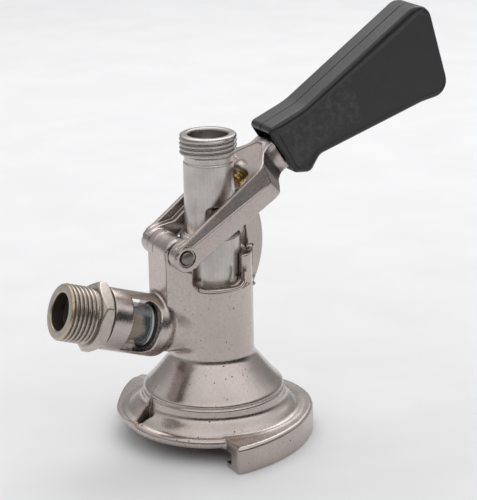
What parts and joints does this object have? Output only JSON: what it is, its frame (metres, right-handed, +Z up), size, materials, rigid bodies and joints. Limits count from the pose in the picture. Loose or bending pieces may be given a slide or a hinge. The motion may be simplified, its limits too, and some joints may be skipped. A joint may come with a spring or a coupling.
{
  "type": "keg coupler",
  "caption": "Slide-on keg coupler: horseshoe base, conical body, sliding beer probe worked by a forked hand lever with a spring lock, and a side gas arm with sight glass.",
  "frame": {"origin": "on the probe axis at the base plane, where the underside of the horseshoe rail stands", "axes": "+Z up along the probe, +X towards the hand lever's grip, Y along the pivot pin; the gas arm points to -X"},
  "size_m": [0.1762, 0.0918, 0.1684],
  "materials": {
    "nickel_casting": "satin nickel plate over a brass casting, faintly pitted",
    "nickel_turned": "turned and satin nickel plated, worn to brass on the thread",
    "stainless_tube": "fine turned satin",
    "pin_steel": "dark satin with polished crown",
    "bolt_brass": "plain turned brass, lightly tarnished",
    "grip_black": "black moulded plastic, fine satin grain",
    "sight_clear": "clear polished tube",
    "seal_rubber": "black rubber",
    "spring_steel": "drawn wire",
    "ball_steel": "polished ball",
    "insert_plastic": "natural white plastic"
  },
  "bodies": {
    "body": {"body_casting": "nickel_casting", "pivot_pin": "pin_steel", "gas_nipple": "nickel_turned", "nipple_gasket": "seal_rubber", "sight_glass": "sight_clear", "sight_glass_seal_inner": "seal_rubber", "sight_glass_seal_outer": "seal_rubber", "gas_check_spring": "spring_steel", "gas_spring_seat": "insert_plastic", "shaft_seal_lower": "seal_rubber", "shaft_seal_upper": "seal_rubber", "keg_seal": "seal_rubber"},
    "gas_ball": {"gas_check_ball": "ball_steel"},
    "lever": {"lever": "nickel_casting", "barrel_plug": "bolt_brass", "lock_spring": "spring_steel"},
    "grip": {"grip_shell_front": "grip_black", "grip_shell_rear": "grip_black", "lock_bolt": "bolt_brass", "grip_pin": "spring_steel"},
    "probe": {"probe_tube": "stainless_tube", "ball_stop_ring": "insert_plastic", "probe_bottom_seal": "seal_rubber", "seal_retainer": "stainless_tube"},
    "beer_ball": {"beer_check_ball": "ball_steel"}
  },
  "joints": [
    {"name": "lever_hinge", "type": "hinge", "parent": "body", "child": "lever", "pos_m": [-0.01764, 0, 0.0812], "axis": [0, 1, 0], "range_deg": [0, 48]},
    {"name": "probe_slide", "type": "slide", "parent": "body", "child": "probe", "axis": [0, 0, 1], "range_m": [-0.0165, 0]},
    {"name": "lock_slide", "type": "slide", "parent": "lever", "child": "grip", "axis": [0.866, 0, 0.5], "range_m": [0, 0.0035], "stiffness_N_per_m": 400, "springref_m": -0.004, "deforming": ["lock_spring"]},
    {"name": "beer_ball_lift", "type": "slide", "parent": "probe", "child": "beer_ball", "axis": [0, 0, 1], "range_m": [0, 0.003]},
    {"name": "gas_ball_lift", "type": "slide", "parent": "body", "child": "gas_ball", "axis": [0.9485, 0, -0.3168], "range_m": [0, 0.0015], "stiffness_N_per_m": 60, "springref_m": -0.003, "deforming": ["gas_check_spring"]}
  ],
  "couplings": [
    {"joint": "probe_slide", "follows": "lever_hinge", "m_per_rad": -0.0197}
  ]
}
